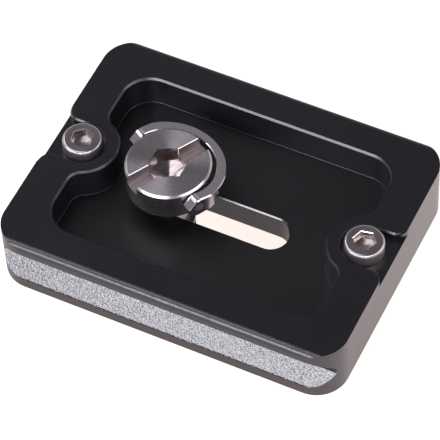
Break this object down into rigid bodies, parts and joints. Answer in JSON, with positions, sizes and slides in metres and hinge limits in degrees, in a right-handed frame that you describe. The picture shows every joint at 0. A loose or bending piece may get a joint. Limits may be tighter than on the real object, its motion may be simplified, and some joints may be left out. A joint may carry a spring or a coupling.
{
  "type": "tripod quick release plate",
  "caption": "Dovetail quick release plate with a pocket, a captive camera screw that slides in a slot, a folding D-ring grip and end stop screws.",
  "frame": {"origin": "middle of the camera face, in the plane of the rubber pads", "axes": "+X along the dovetail, +Z away from the camera, out of the pocket"},
  "size_m": [0.05, 0.038, 0.0153],
  "materials": {
    "black_anodised": "blasted and anodised",
    "pad_rubber": "matt moulded rubber",
    "knurled_steel": "knurled",
    "turned_steel": "turned",
    "pin_steel": "turned",
    "ring_steel": "polished and turned",
    "washer_steel": "pressed",
    "washer_nylon": "moulded"
  },
  "bodies": {
    "plate": {"plate_body": "black_anodised", "grip_pad_front": "pad_rubber", "grip_pad_rear": "pad_rubber", "stop_screw_left": "knurled_steel", "stop_screw_right": "knurled_steel"},
    "slide_carrier": {"retaining_washer": "washer_steel"},
    "lift_carrier": {"head_washer": "washer_nylon"},
    "screw": {"camera_screw": "turned_steel", "ring_pin_front": "pin_steel", "ring_pin_rear": "pin_steel"},
    "ring": {"d_ring": "ring_steel"}
  },
  "joints": [
    {"name": "screw_slide", "type": "slide", "parent": "plate", "child": "slide_carrier", "axis": [1, 0, 0], "range_m": [0, 0.0149]},
    {"name": "screw_lift", "type": "slide", "parent": "slide_carrier", "child": "lift_carrier", "axis": [0, 0, 1], "range_m": [-0.00215, 0]},
    {"name": "screw_turn", "type": "hinge", "parent": "lift_carrier", "child": "screw", "pos_m": [-0.00776, 0, 0], "axis": [0, 0, 1], "continuous": true},
    {"name": "ring_lift", "type": "hinge", "parent": "screw", "child": "ring", "pos_m": [-0.00776, 0, 0.01024], "axis": [0.8572, -0.515, 0], "range_deg": [0, 190]}
  ]
}
